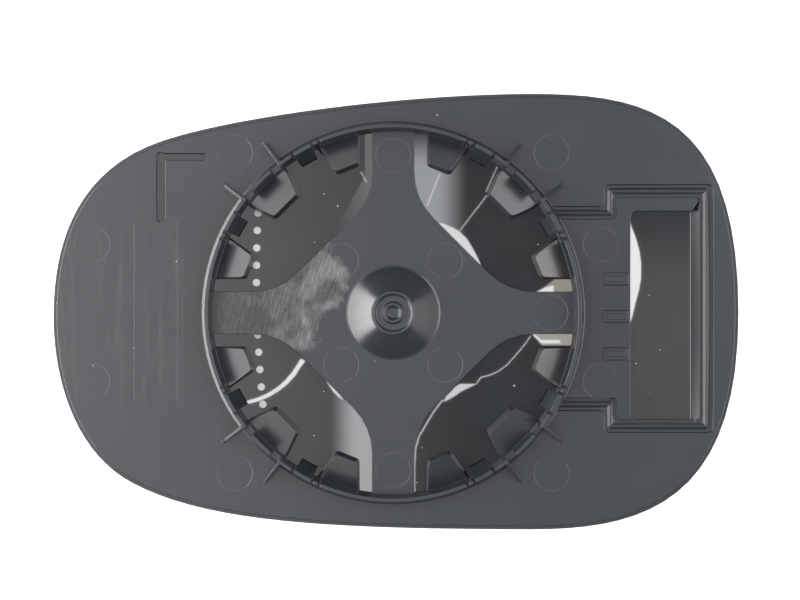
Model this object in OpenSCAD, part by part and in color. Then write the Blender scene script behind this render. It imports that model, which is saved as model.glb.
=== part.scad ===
// Car door mirror glass: a curved pane bonded to a moulded holder plate that snaps onto the mirror's motor.
// It lies face down. X runs along the long side, Y across it, and Z out of the plate's back.
// The origin is on the snap collar's axis, where that axis meets the plate's curved back face.
// Sizes are in millimetres.

/* [Outline] */
// Width of the plate beyond the collar's foot, on the right
margin_right = 39; // [36:0.1:50]
// Width of the plate beyond the collar's foot, on the left
margin_left = 37.6; // [32:0.1:50]
// Width of the plate beyond the collar's foot, at the top
margin_top = 7.6; // [6:0.1:16]
// Width of the plate beyond the collar's foot, at the bottom
margin_bottom = 7; // [6:0.1:16]
// Distance from the collar's axis to the crest of the top edge and of the bottom edge
crest_right = 34.5; // [20:0.5:40]
// Drop of the left edge's widest point below the collar's axis
left_drop = 1; // [0:0.5:6]
// Upper left shoulder, in from the left edge
upper_shoulder_in = 27.2; // [22:0.1:32]
// Upper left shoulder, down from the top edge
upper_shoulder_down = 11.7; // [9:0.1:15]
// Slope of the edge at the upper left shoulder, in degrees
upper_shoulder_slope = 18.5; // [14:0.5:26]
// Lower left shoulder, in from the left edge
lower_shoulder_in = 19.7; // [16:0.1:24]
// Lower left shoulder, up from the bottom edge
lower_shoulder_up = 11.6; // [9:0.1:15]
// Slope of the edge at the lower left shoulder, in degrees
lower_shoulder_slope = 28; // [20:0.5:34]

/* [Outline fullness] */
// How full the upper right corner is where it starts and where it ends
full_upper_right = [0.66, 0.385]; // [0.2:0.005:0.7]
// How full the top edge is where it starts and where it ends
full_top = [0.35, 0.205]; // [0.15:0.005:0.5]
// How full the upper left corner is where it starts and where it ends
full_upper_left = [0.485, 0.28]; // [0.2:0.005:0.6]
// How full the lower left corner is where it starts and where it ends
full_lower_left = [0.295, 0.38]; // [0.2:0.005:0.6]
// How full the bottom edge is where it starts and where it ends
full_bottom = [0.21, 0.505]; // [0.15:0.005:0.6]
// How full the lower right corner is where it starts and where it ends
full_lower_right = [0.375, 0.63]; // [0.2:0.005:0.7]

/* [Curve] */
// Radius of the pane's convex face
pane_radius = 1400; // [800:50:3000]
// Radius of the flat spot in the middle, which the pane rests on
flat_r = 12; // [6:1:20]

/* [Pane and film] */
// Thickness of the pane
pane_t = 2; // [1.6:0.1:3]
// Thickness of the adhesive film
film_t = 0.3; // [0.1:0.05:0.8]
// Film's setback from the pane's edge
film_setback = 2; // [1:0.5:6]
// Film's clearance round the collar and the window
film_clearance = 0.8; // [0.3:0.1:2]
// Gap between the pane's edge and the rim
pane_gap = 0.15; // [0.1:0.05:0.4]

/* [Holder plate] */
// Thickness of the plate's back wall
wall_t = 2.2; // [1.8:0.1:3]
// Width of the rim round the pane's edge
rim_w = 1.4; // [1:0.1:2]
// Setback of the rim's front from the pane's face
rim_setback = 0.2; // [0:0.1:0.8]
// Width of the step along the back's edge
edge_step_w = 0.9; // [0.5:0.1:1.3]
// Drop of the step along the back's edge
edge_step_drop = 0.6; // [0.3:0.1:1.2]

/* [Snap collar] */
// Inner radius of the collar at its foot
collar_r = 45.3; // [44:0.1:46.5]
// Height of the collar above its foot
collar_h = 7; // [5:0.1:9]
// Wall of the collar at its foot
collar_foot_t = 1.8; // [1.4:0.1:2.4]
// Wall of the collar at its top
collar_top_t = 0.9; // [0.7:0.1:1.3]
// Draft of the collar's inner face, measured at its top
collar_draft = 0.45; // [0.2:0.05:0.8]
// Size of the chamfer round the collar's foot
foot_chamfer = 0.7; // [0.3:0.1:1.2]
// Height of the sill that the slots and notches leave
sill_h = 0.8; // [0.4:0.1:1.6]
// Half the angle of the bar in the middle of each diagonal
bar_half_angle = 4.1; // [3:0.1:5]
// Angle from the diagonal to each gusset rib
rib_angle = 7.9; // [7:0.1:9]
// Angle from the diagonal to the first slot
slot_a_angle = 12.5; // [11.5:0.1:12.8]
// Angle from the diagonal to the second slot
slot_b_angle = 19.3; // [18:0.1:20]
// Angle from the diagonal to the third slot
slot_c_angle = 21.6; // [21.2:0.1:23]
// Width of each slot
slot_w = 0.65; // [0.4:0.05:1]

/* [Hooks and ribs] */
// Reach of each hook inside the collar's foot radius
hook_reach = 2.3; // [1.5:0.1:3]
// Height of the hook's tip, down from the collar's top
hook_tip_down = 4.2; // [2:0.1:4.4]
// Height of the hook's nose
hook_nose_h = 0.6; // [0.3:0.1:1.2]
// Depth of the hook's lower face below its nose
hook_under_h = 0.5; // [0.2:0.1:1]
// Thickness of each gusset rib
rib_t = 0.8; // [0.6:0.1:1.4]
// Length of each gusset rib outside the collar
rib_l = 6.3; // [4:0.1:6.6]
// Height of each gusset rib at the collar
rib_h = 4.6; // [2.5:0.1:6]
// Height of each gusset rib at its tip
rib_tip_h = 1.2; // [0.8:0.1:2]
// Length of the low step at the rib's tip
rib_step_l = 0.8; // [0.4:0.1:1.5]

/* [Web and tabs] */
// Half the width of each arm of the web
arm_half = 5.3; // [4:0.1:7]
// Distance from the axis to each slanted side of the web
web_reach = 23.9; // [20:0.1:26]
// Radius between an arm and the web's slanted side
web_fillet = 16; // [8:0.5:20]
// Reach of the tabs inside the collar's foot
tab_reach = 8.1; // [6:0.1:10]
// Height of the tabs' top below the collar's foot, where they start
tab_drop = 0.6; // [0.1:0.05:1]
// Angle at which the tabs' top rises towards the middle
tab_rise = 12; // [0:1:16]
// Slant of the tabs' sides, measured in plan
tab_slant = 0.9; // [0.3:0.1:1.2]
// Radius of the tabs' corners
tab_corner_r = 1.2; // [0.5:0.1:2]
// Half the inner width of the tab on each diagonal
tab_half_in = 4.35; // [3:0.05:5]
// Half the outer width of the tab on each diagonal
tab_half_out = 6.6; // [5.5:0.1:7.5]
// Length of the tab's flared part on each diagonal
tab_flare_l = 6.6; // [4:0.1:7.5]
// Radius of the corners where the flare starts
tab_flare_r = 0.8; // [0.3:0.1:2]
// Gap between an arm and the tab beside it
arm_gap = 3.1; // [2:0.1:4]
// Angle from the arm to the inner corner of the tab beside it
tab_tip_angle = 22.5; // [20:0.1:24]
// Angle from the arm to the outer corner of the tab beside it
tab_root_angle = 25; // [24:0.1:26]
// Setback of the inner corner next to the arm
tab_near_setback = 0.5; // [0:0.1:1]

/* [Boss] */
// Radius of the boss at its base
boss_base_r = 11.4; // [9:0.1:13]
// Radius of the boss at its top
boss_top_r = 5.65; // [4.5:0.05:7]
// Height of the boss
boss_h = 5; // [3:0.1:7]
// Depth of the dish in the boss's top
dish_depth = 0.5; // [0.2:0.1:1]
// Radius of the small nub in the dish
nub_r = 2.8; // [2:0.1:3.5]
// Height of the nub
nub_h = 0.7; // [0.3:0.1:1.2]
// Radius of the dimple in the nub
dimple_r = 1.9; // [1:0.1:2.2]
// Height and width of the rounding at the boss's base
boss_base_rounding = 0.6; // [0.3:0.1:1]
// Height and width of the rounding at the boss's top
boss_top_rounding = 0.3; // [0.1:0.05:0.4]
// Width of the rim round the dish
dish_rim_w = 0.5; // [0.3:0.1:1]
// Width of the slope into the dish and into the dimple
dish_slope_w = 0.6; // [0.3:0.1:0.8]

/* [Window and frame groove] */
// Distance from the collar to the window
window_from_collar = 12.1; // [9:0.1:14]
// Window's edge above the collar's axis
window_top = 25.4; // [15:0.1:28]
// Window's edge below the collar's axis
window_bottom = 26.7; // [15:0.1:28]
// Radius of the window's left corners
window_corner_r = 1.4; // [0.5:0.1:3]
// Width of the slanted ledge on the window's right
ledge_w = 1.7; // [1:0.1:2.5]
// Depth of the slanted ledge at the window
ledge_depth = 1.8; // [0.8:0.1:2]
// Run of the ledge's outer edge past the window's top
ledge_past_top = 2.7; // [0:0.1:3]
// Run of the ledge's outer edge past the window's bottom
ledge_past_bottom = 1.5; // [0:0.1:3]
// Width of the land between the ledge and the groove
ledge_land_w = 0.25; // [0.1:0.05:1]
// Distance from the plate's right end to the groove
groove_from_end = 8.05; // [7:0.05:10]
// Distance from the plate's edge above to the groove's upper run
groove_from_top = 7.6; // [6:0.1:12]
// Distance from the plate's edge below to the groove's lower run
groove_from_bottom = 8.1; // [6:0.1:12]
// Width of the frame groove
groove_w = 3.2; // [2:0.1:4]
// Depth of the grooves
groove_depth = 1.2; // [0.6:0.1:1.5]
// Radius of the groove's corners
groove_corner_r = 1.2; // [0.5:0.1:2]
// Width of the bead on the groove's floor
bead_w = 1.7; // [0.8:0.1:1.8]
// Height of the bead on the groove's floor
bead_h = 0.28; // [0.1:0.02:0.6]
// Width of the bead's flat crest
bead_crest_w = 0.3; // [0.1:0.05:0.6]
// Distance from the collar to the groove's step
step_from_collar = 7.2; // [6:0.1:10]
// Shift of the groove towards the axis at its step
step_shift = 5.4; // [4:0.1:8]

/* [Corner mark groove] */
// Distance from the collar to the mark's upright
mark_from_collar = 10.9; // [9:0.1:14]
// Distance from the plate's edge above to the mark's corner
mark_from_edge = 3.9; // [3:0.1:8]
// Length of the mark's upright
mark_upright_l = 15.2; // [10:0.1:20]
// Length of the mark's bar
mark_bar_l = 10.6; // [6:0.1:12]
// Width of the mark's upright
mark_upright_w = 2.2; // [1.5:0.1:3]
// Width of the mark's bar
mark_bar_w = 1.7; // [1.2:0.1:2.5]

/* [Pads] */
// Length of each pad
pad_l = 6.4; // [4:0.1:7]
// Width of each pad
pad_w = 3; // [2:0.1:4]
// Height of each pad
pad_h = 0.5; // [0.2:0.1:1]
// Distance between two pads
pad_pitch = 9.35; // [7:0.05:11]
// Shift of the middle pad below the collar's axis
pads_drop = 0.9; // [0:0.1:4]
// Gap between the pads and the window
pad_gap = 0.4; // [0.2:0.1:1]
// Margin of the raised field on each pad
field_margin = 0.75; // [0.4:0.05:1.2]
// Height of the raised field on each pad
field_h = 0.2; // [0.1:0.05:0.4]

/* [Ejector marks] */
// Radius of the round marks that the mould's ejectors leave
ejector_r = 4.35; // [2:0.05:4.5]
// Depth of the marks
ejector_depth = 0.12; // [0.05:0.01:0.3]
// Distance of the marks on the web's arms from the collar's axis
ejector_arm = 39.3; // [36:0.1:40]
// Distance of the marks round the boss from the axis, along X and along Y
ejector_web = 13; // [12:0.1:13.5]
// Distance of the marks beyond the collar's diagonals from the axis, along X
ejector_corner_x = 39.5; // [39:0.1:41]
// Distance of the marks beyond the collar's diagonals from the axis, along Y
ejector_corner_y = 40; // [39:0.1:41]
// Distance of the marks on the left from the plate's left edge
ejector_left_in = 9.7; // [7:0.1:12]
// Distance of the marks on the right from the collar
ejector_right_out = 4.7; // [4.5:0.1:5.5]
// Distance of the marks on the left and on the right from the axis, along Y
ejector_side_y = 17.1; // [16:0.1:18]

/* [Hidden] */
$fn = 72;
quarter_steps = 18; // points on each stretch of the outline
corner_steps = 4; // points on each rounded corner
dome_steps = 9; // bands of the curved faces outside the flat spot
end_steps = 8; // steps round a slot's end
over = 1; // how far a cutter runs past what it cuts
bite = 0.05; // how far two shapes overlap where their faces would only touch
root_in = 0.8; // how far a tab runs into the collar's wall
hook_in = 0.35; // how far a hook runs into the collar's wall
rib_sink = 0.5; // how far a rib runs below the plate's back
rib_free = 0.7; // angle by which a notch stops short of the rib beside it

// levels of the curved layers on the axis, and the heights that follow from them
film_back = -wall_t;
pane_back = film_back - film_t;
pane_face = pane_back - pane_t;
rim_face = pane_face + rim_setback;
collar_outer = collar_r + collar_foot_t;
collar_seat = dome(collar_outer, 0);
collar_top = collar_seat + collar_h;
sill_top = collar_seat + max(sill_h, foot_chamfer + 2 * bite);
root_r = collar_r + root_in;
open_r = collar_r + collar_foot_t / 2;
web_low = dome(collar_r, film_back);
tab_inner = collar_r - tab_reach;
tab_root_z = collar_seat - tab_drop;

// height at radius r of a spherical face whose flat spot is at the given level
function dome(r, level) =
    level + sqrt(pow(pane_radius, 2) - pow(flat_r, 2)) - sqrt(pow(pane_radius, 2) - pow(max(r, flat_r), 2));

function unit(v) = v / norm(v);
function heading(a) = [cos(a), sin(a)];
function turned(p, a) = [p.x * cos(a) - p.y * sin(a), p.x * sin(a) + p.y * cos(a)];
function short_way(a) = a > 180 ? a - 360 : (a < -180 ? a + 360 : a);

// the plate's reach on each side of the collar's axis
plate_right = collar_outer + margin_right;
plate_left = collar_outer + margin_left;
plate_top = collar_outer + margin_top;
plate_bottom = collar_outer + margin_bottom;

// a smooth stretch from a to b that leaves along one angle and arrives along another
function stretch(a, leave, b, arrive, fullness) =
    let (
        c = a + fullness[0] * norm(b - a) * heading(leave),
        d = b - fullness[1] * norm(b - a) * heading(arrive)
    )
    [for (k = [0 : quarter_steps - 1])
        let (t = k / quarter_steps, s = 1 - t)
        s * s * s * a + 3 * s * s * t * c + 3 * s * t * t * d + t * t * t * b];

// the plate's outline: its four crests and two shoulders, with smooth stretches between them
edge_right = [plate_right, 0];
edge_top = [crest_right, plate_top];
edge_upper = [upper_shoulder_in - plate_left, plate_top - upper_shoulder_down];
edge_left = [-plate_left, -left_drop];
edge_lower = [lower_shoulder_in - plate_left, lower_shoulder_up - plate_bottom];
edge_bottom = [crest_right, -plate_bottom];
outline = concat(
    stretch(edge_right, 90, edge_top, 180, full_upper_right),
    stretch(edge_top, 180, edge_upper, 180 + upper_shoulder_slope, full_top),
    stretch(edge_upper, 180 + upper_shoulder_slope, edge_left, 270, full_upper_left),
    stretch(edge_left, 270, edge_lower, 360 - lower_shoulder_slope, full_lower_left),
    stretch(edge_lower, 360 - lower_shoulder_slope, edge_bottom, 360, full_bottom),
    stretch(edge_bottom, 0, edge_right, 90, full_lower_right)
);

// the same outline, moved in by a distance
function moved_in(distance) =
    let (n = len(outline))
    [for (i = [0 : n - 1])
        let (along = unit(outline[(i + 1) % n] - outline[(i + n - 1) % n]))
        outline[i] + distance * [-along.y, along.x]];

// distance of the outline's edge from the X axis at a given x, above it (side 1) or below it (side -1)
function edge_height(x, side) =
    let (n = len(outline))
    max([for (i = [0 : n - 1])
        let (p = outline[i], q = outline[(i + 1) % n])
        if ((p.x - x) * (q.x - x) <= 0 && p.x != q.x && side * (p.y + q.y) > 0)
            side * (p.y + (q.y - p.y) * (x - p.x) / (q.x - p.x))]);

// places that follow from the outline and the collar
groove_x = plate_right - groove_from_end;
groove_top = edge_height(groove_x, 1) - groove_from_top;
groove_bottom = -edge_height(groove_x, -1) + groove_from_bottom;
step_x = collar_outer + step_from_collar;
window_left = collar_outer + window_from_collar;
ledge_right = groove_x - groove_w / 2 - ledge_land_w;
window_right = ledge_right - ledge_w;
mark_x = -(collar_outer + mark_from_collar);
mark_y = edge_height(mark_x, 1) - mark_from_edge;
dome_reach = norm([max(plate_left, plate_right), max(plate_top, plate_bottom)]);
sky = dome(dome_reach, over); // a height above all of the plate's back
groove_path = [
    [sqrt(pow(collar_outer, 2) - pow(groove_top - step_shift, 2)), groove_top - step_shift],
    [step_x, groove_top - step_shift],
    [step_x, groove_top],
    [groove_x, groove_top],
    [groove_x, groove_bottom],
    [step_x, groove_bottom],
    [step_x, groove_bottom + step_shift],
    [sqrt(pow(collar_outer, 2) - pow(groove_bottom + step_shift, 2)), groove_bottom + step_shift]
];

// the ejector marks: round the boss, on the arms, beyond the collar's diagonals, on the left and on the right
ejector_marks = concat(
    [for (x = [-1, 1], y = [-1, 1]) [x, y] * ejector_web],
    [for (q = [0 : 3]) ejector_arm * heading(90 * q)],
    [for (x = [-1, 1], y = [-1, 1]) [x * ejector_corner_x, y * ejector_corner_y]],
    [for (y = [-1, 1]) [ejector_left_in - plate_left, y * ejector_side_y]],
    [for (y = [-1, 1]) [collar_outer + ejector_right_out, y * ejector_side_y]]
);

// the points of an arc that rounds the corner at b between a and c
function rounded_corner(a, b, c, radius) =
    let (
        u = unit(a - b),
        v = unit(c - b),
        half = acos(u * v) / 2,
        room = 0.48 * min(norm(a - b), norm(c - b)) * tan(half),
        r = min(radius, room),
        centre = b + unit(u + v) * r / sin(half),
        start = b + u * r / tan(half) - centre,
        end = b + v * r / tan(half) - centre,
        first = atan2(start.y, start.x),
        sweep = short_way(atan2(end.y, end.x) - first)
    )
    [for (k = [0 : corner_steps]) centre + r * heading(first + sweep * k / corner_steps)];

// a closed outline with its corners rounded, where a radius of 0 keeps a corner sharp
function rounded(points, radii) =
    let (n = len(points))
    [for (i = [0 : n - 1])
        each radii[i] > 0
            ? rounded_corner(points[(i + n - 1) % n], points[i], points[(i + 1) % n], radii[i])
            : [points[i]]];

// one side of a band along a path, at a distance to its left
function band_side(path, distance) =
    [for (i = [0 : len(path) - 1])
        let (
            into = unit(path[max(i, 1)] - path[max(i, 1) - 1]),
            out = unit(path[min(i, len(path) - 2) + 1] - path[min(i, len(path) - 2)]),
            n1 = [-into.y, into.x],
            n2 = [-out.y, out.x]
        )
        path[i] + distance * (n1 + n2) / (1 + n1 * n2)];

// the outline of a groove that follows a path, with its inner corners rounded and its ends square
function band(path, width, radius) =
    let (
        ends = [for (i = [0 : len(path) - 1]) i == 0 || i == len(path) - 1 ? 0 : radius],
        left = band_side(path, width / 2),
        right = band_side(path, -width / 2)
    )
    rounded(
        concat(left, [for (i = [len(right) - 1 : -1 : 0]) right[i]]),
        concat(ends, ends)
    );

// the outline of a straight slot with round ends
function slot_outline(from, to, width) =
    let (along = atan2(to.y - from.y, to.x - from.x))
    concat(
        [for (k = [0 : end_steps]) to + width / 2 * heading(along - 90 + 180 * k / end_steps)],
        [for (k = [0 : end_steps]) from + width / 2 * heading(along + 90 + 180 * k / end_steps)]
    );

// the curved layer between two levels
module layer(low, high) {
    radii = [0, for (i = [0 : dome_steps]) flat_r + (dome_reach - flat_r) * i / dome_steps];
    rotate_extrude()
        polygon(concat(
            [for (r = radii) [r, dome(r, low)]],
            [for (i = [len(radii) - 1 : -1 : 0]) [radii[i], dome(radii[i], high)]]
        ));
}

// a shape in plan, given as points, cut out of the curved layer between two levels
module curved_plate(points, low, high) {
    intersection() {
        translate([0, 0, low - over])
            linear_extrude(height = sky + high - low + over)
                polygon(points);
        layer(low, high);
    }
}

// the plate before its openings: back wall, rim and pocket for the pane
module plate_blank() {
    difference() {
        curved_plate(outline, rim_face, 0);
        curved_plate(moved_in(rim_w), rim_face - over, film_back);
        difference() {
            layer(-edge_step_drop, over);
            translate([0, 0, -edge_step_drop - over])
                linear_extrude(height = sky + edge_step_drop + 2 * over)
                    polygon(moved_in(edge_step_w));
        }
    }
}

// the four-armed web in plan
module web_plan() {
    corner = web_reach * sqrt(2) - arm_half;
    polygon(rounded(
        [for (q = [0 : 3]) each [
            turned([open_r + over, -arm_half], 90 * q),
            turned([open_r + over, arm_half], 90 * q),
            turned([corner, arm_half], 90 * q),
            turned([arm_half, corner], 90 * q)
        ]],
        [for (q = [0 : 3]) each [0, 0, web_fillet, web_fillet]]
    ));
}

// what the plate loses inside the collar
module collar_opening() {
    translate([0, 0, pane_face])
        linear_extrude(height = collar_top - pane_face)
            difference() {
                circle(r = open_r);
                web_plan();
            }
}

// one tab: a wedge with slanted sides, lowest at the collar, whose corners in plan go from root to root
module tab(angle, corners, radii) {
    local = [for (c = corners) turned(c, -angle) - [root_r, 0]];
    depth = -min([for (p = local) p.x]);
    end_x = root_r - depth - over;
    end_z = tab_root_z + (collar_r - end_x) * tan(tab_rise);
    rotate([0, 0, angle])
        intersection() {
            translate([root_r, 0, web_low])
                linear_extrude(height = end_z - web_low, scale = 1 - tab_slant / depth)
                    polygon(rounded(local, radii));
            rotate([90, 0, 0])
                linear_extrude(height = 2 * collar_r, center = true)
                    polygon([
                        [end_x, web_low - over],
                        [root_r + over, web_low - over],
                        [root_r + over, tab_root_z],
                        [collar_r, tab_root_z],
                        [end_x, end_z]
                    ]);
        }
}

// the tab in the middle of a diagonal
module diagonal_tab(angle) {
    root_x = sqrt(root_r * root_r - tab_half_out * tab_half_out);
    flare_x = tab_inner + tab_flare_l;
    corners = [
        [root_x, tab_half_out],
        [flare_x, tab_half_out],
        [tab_inner, tab_half_in],
        [tab_inner, -tab_half_in],
        [flare_x, -tab_half_out],
        [root_x, -tab_half_out]
    ];
    radii = [0, tab_flare_r, tab_corner_r, tab_corner_r, tab_flare_r, 0];
    tab(angle, [for (c = corners) turned(c, angle)], radii);
}

// the tab beside an arm, on the side that the sign gives
module arm_tab(angle, side) {
    near = arm_half + arm_gap;
    corners = [
        [sqrt(root_r * root_r - near * near), side * near],
        [sqrt(tab_inner * tab_inner - near * near) + tab_near_setback, side * near],
        tab_inner * [cos(tab_tip_angle), side * sin(tab_tip_angle)],
        root_r * [cos(tab_root_angle), side * sin(tab_root_angle)]
    ];
    middle = side * (asin(near / root_r) + tab_root_angle) / 2;
    tab(angle + middle, [for (c = corners) turned(c, angle)], [0, tab_corner_r, tab_corner_r, 0]);
}

// the collar's wall, turned all round, before its slots
module collar_wall() {
    low = web_low + bite;
    rotate_extrude()
        polygon([
            [collar_r, low],
            [collar_outer, low],
            [collar_outer, collar_seat - foot_chamfer],
            [collar_outer + foot_chamfer + bite, collar_seat - bite],
            [collar_outer - bite, collar_seat + foot_chamfer],
            [collar_r + collar_draft + collar_top_t, collar_top],
            [collar_r + collar_draft, collar_top],
            [collar_r, collar_seat]
        ]);
}

// a cutter across the collar's wall
module wall_cutter(angle, width) {
    rotate([0, 0, angle])
        translate([collar_r - over, -width / 2, sill_top])
            cube([collar_foot_t + foot_chamfer + 2 * over, width, collar_h + over]);
}

// the collar with its slots and notches
module collar() {
    notch_from = bar_half_angle;
    notch_to = rib_angle - rib_free;
    notch_w = 2 * collar_outer * sin((notch_to - notch_from) / 2);
    difference() {
        collar_wall();
        for (diagonal = [45 : 90 : 315])
            for (side = [-1, 1]) {
                wall_cutter(diagonal + side * (notch_from + notch_to) / 2, notch_w);
                for (a = [slot_a_angle, slot_b_angle, slot_c_angle])
                    wall_cutter(diagonal + side * a, slot_w);
            }
    }
}

// one hook: its lead-in face slants down to the nose, and its lower face catches
module hook(angle) {
    margin = asin(slot_w / 2 / collar_outer);
    first = slot_a_angle + margin;
    span = slot_b_angle - margin - first;
    nose_r = collar_r - hook_reach;
    nose_top = collar_top - hook_tip_down;
    foot = nose_top - hook_nose_h - hook_under_h;
    face = collar_r + collar_draft;
    rotate([0, 0, angle - span / 2])
        rotate_extrude(angle = span)
            polygon([
                [face + hook_in, collar_top - bite],
                [face - 2 * bite, collar_top - bite],
                [nose_r, nose_top],
                [nose_r, nose_top - hook_nose_h],
                [face - hook_in, foot],
                [face + hook_in, foot]
            ]);
}

module hooks() {
    middle = (slot_a_angle + slot_b_angle) / 2;
    for (diagonal = [45 : 90 : 315])
        for (side = [-1, 1])
            hook(diagonal + side * middle);
}

// one gusset rib outside the collar, with a low step at its tip
module rib(angle) {
    tip = collar_outer + rib_l;
    step = tip - rib_step_l;
    low = collar_seat - rib_sink;
    rotate([0, 0, angle])
        rotate([90, 0, 0])
            translate([0, 0, -rib_t / 2])
                linear_extrude(height = rib_t)
                    polygon([
                        [open_r, low],
                        [tip, low],
                        [tip, dome(tip, rib_tip_h / 2)],
                        [step, dome(step, rib_tip_h / 2)],
                        [step, dome(step, rib_tip_h)],
                        [collar_outer, collar_seat + rib_h],
                        [open_r, collar_seat + rib_h]
                    ]);
}

// the cone boss in the middle, with its dished top, nub and dimple
module boss() {
    base = dome(boss_base_r, 0);
    top = base + boss_h;
    dish = top - dish_depth;
    foot_r = boss_base_r + boss_base_rounding;
    rim_r = boss_top_r - boss_top_rounding;
    rotate_extrude()
        polygon([
            [0, film_back / 2],
            [foot_r, film_back / 2],
            [foot_r, base - bite],
            [boss_base_r, base + 3 * bite],
            [boss_base_r - boss_base_rounding, base + boss_base_rounding],
            [boss_top_r, top - boss_top_rounding],
            [rim_r, top],
            [rim_r - dish_rim_w, top],
            [rim_r - dish_rim_w - dish_slope_w, dish],
            [nub_r, dish],
            [nub_r - boss_top_rounding, dish + nub_h],
            [dimple_r, dish + nub_h],
            [dimple_r - dish_slope_w, dish + 2 * bite],
            [0, dish]
        ]);
}

// the window and the slanted ledge on its right
module window_cut() {
    curved_plate(
        rounded(
            [
                [window_left, window_top],
                [window_left, -window_bottom],
                [window_right, -window_bottom],
                [window_right, window_top]
            ],
            [window_corner_r, window_corner_r, 0, 0]
        ),
        pane_back - over,
        4 * over // well above the ledge's cutter, so that their tops never meet
    );
    back = dome(ledge_right, 0);
    intersection() {
        translate([0, 0, film_back])
            linear_extrude(height = back + wall_t + 2 * over)
                polygon([
                    [window_right - over, window_top],
                    [window_right, window_top],
                    [ledge_right, window_top + ledge_past_top],
                    [ledge_right, -window_bottom - ledge_past_bottom],
                    [window_right, -window_bottom],
                    [window_right - over, -window_bottom]
                ]);
        translate([0, plate_top, 0])
            rotate([90, 0, 0])
                linear_extrude(height = plate_top + plate_bottom)
                    polygon([
                        [window_right - over, back - ledge_depth],
                        [window_right, back - ledge_depth],
                        [ledge_right, back],
                        [ledge_right, back + over],
                        [window_right - over, back + over]
                    ]);
    }
}

// the frame groove: from the collar, round the window and back to the collar
module frame_groove() {
    curved_plate(band(groove_path, groove_w, groove_corner_r), -groove_depth, over);
}

// a straight run of the bead on the groove's floor, from a to b
module bead_run(a, b) {
    rise = dome(norm(b), 0) - dome(norm(a), 0);
    translate([a.x, a.y, dome(norm(a), -groove_depth)])
        rotate([0, -atan2(rise, norm(b - a)), atan2(b.y - a.y, b.x - a.x)])
            rotate([90, 0, 90])
                linear_extrude(height = norm([norm(b - a), rise]))
                    polygon([
                        [-bead_w / 2, -rib_sink],
                        [bead_w / 2, -rib_sink],
                        [bead_w / 2, 0],
                        [bead_crest_w / 2, bead_h],
                        [-bead_crest_w / 2, bead_h],
                        [-bead_w / 2, 0]
                    ]);
}

// the bead along the groove, with each run carried past its corners
module frame_bead() {
    last_run = len(groove_path) - 2;
    for (i = [0 : last_run]) {
        along = unit(groove_path[i + 1] - groove_path[i]);
        before = i == 0 ? 0 : bead_crest_w / 2;
        after = i == last_run ? 0 : bead_crest_w / 2;
        bead_run(groove_path[i] - before * along, groove_path[i + 1] + after * along);
    }
}

// the shallow round marks of the mould's ejectors
module ejector_cuts() {
    intersection() {
        layer(-ejector_depth, over);
        for (p = ejector_marks)
            translate([p.x, p.y, -over])
                cylinder(r = ejector_r, h = sky + over, $fn = 24);
    }
}

// the corner mark in the upper left
module mark_groove() {
    corner = [mark_x, mark_y];
    curved_plate(
        slot_outline(corner, corner - [0, mark_upright_l], mark_upright_w),
        -groove_depth,
        over
    );
    curved_plate(
        slot_outline(corner, corner + [mark_bar_l, 0], mark_bar_w),
        -groove_depth,
        over
    );
}

function rectangle(x0, y0, x1, y1) = [[x0, y0], [x1, y0], [x1, y1], [x0, y1]];

// the row of pads beside the window, each with a plain raised field
module pads() {
    x1 = window_left - pad_gap;
    x0 = x1 - pad_l;
    for (i = [-1 : 1]) {
        y = i * pad_pitch - pads_drop;
        curved_plate(rectangle(x0, y - pad_w / 2, x1, y + pad_w / 2), -wall_t / 2, pad_h);
        curved_plate(
            rectangle(
                x0 + field_margin,
                y - pad_w / 2 + field_margin,
                x1 - field_margin,
                y + pad_w / 2 - field_margin
            ),
            -wall_t / 2,
            pad_h + field_h
        );
    }
}

module holder_plate() {
    color([0.23, 0.24, 0.26]) {
        difference() {
            plate_blank();
            collar_opening();
            window_cut();
            frame_groove();
            mark_groove();
            ejector_cuts();
        }
        frame_bead();
        collar();
        hooks();
        for (diagonal = [45 : 90 : 315]) {
            diagonal_tab(diagonal);
            for (side = [-1, 1]) {
                rib(diagonal + side * rib_angle);
                arm_tab(diagonal - 45, side);
            }
        }
        boss();
        pads();
    }
}

module adhesive_film() {
    color([0.75, 0.74, 0.7])
        difference() {
            curved_plate(moved_in(rim_w + pane_gap + film_setback), pane_back, film_back);
            translate([0, 0, pane_face])
                cylinder(r = collar_outer + film_clearance, h = wall_t + pane_t + collar_h);
            translate([window_left - film_clearance, -window_bottom - film_clearance, pane_face])
                cube([
                    window_right - window_left + 2 * film_clearance,
                    window_top + window_bottom + 2 * film_clearance,
                    wall_t + pane_t + collar_h
                ]);
        }
}

module mirror_glass() {
    color([0.55, 0.57, 0.6])
        curved_plate(moved_in(rim_w + pane_gap), pane_face, pane_back);
}

holder_plate();
adhesive_film();
mirror_glass();
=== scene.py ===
"""Looks of a car door mirror glass seen from behind: a moulded holder plate, a bonding film and a curved pane.

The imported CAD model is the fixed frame. Lengths here are in millimetres until they go into a mesh.
"""

import logging
import math
from dataclasses import dataclass
from enum import Enum
from typing import Sequence

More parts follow.
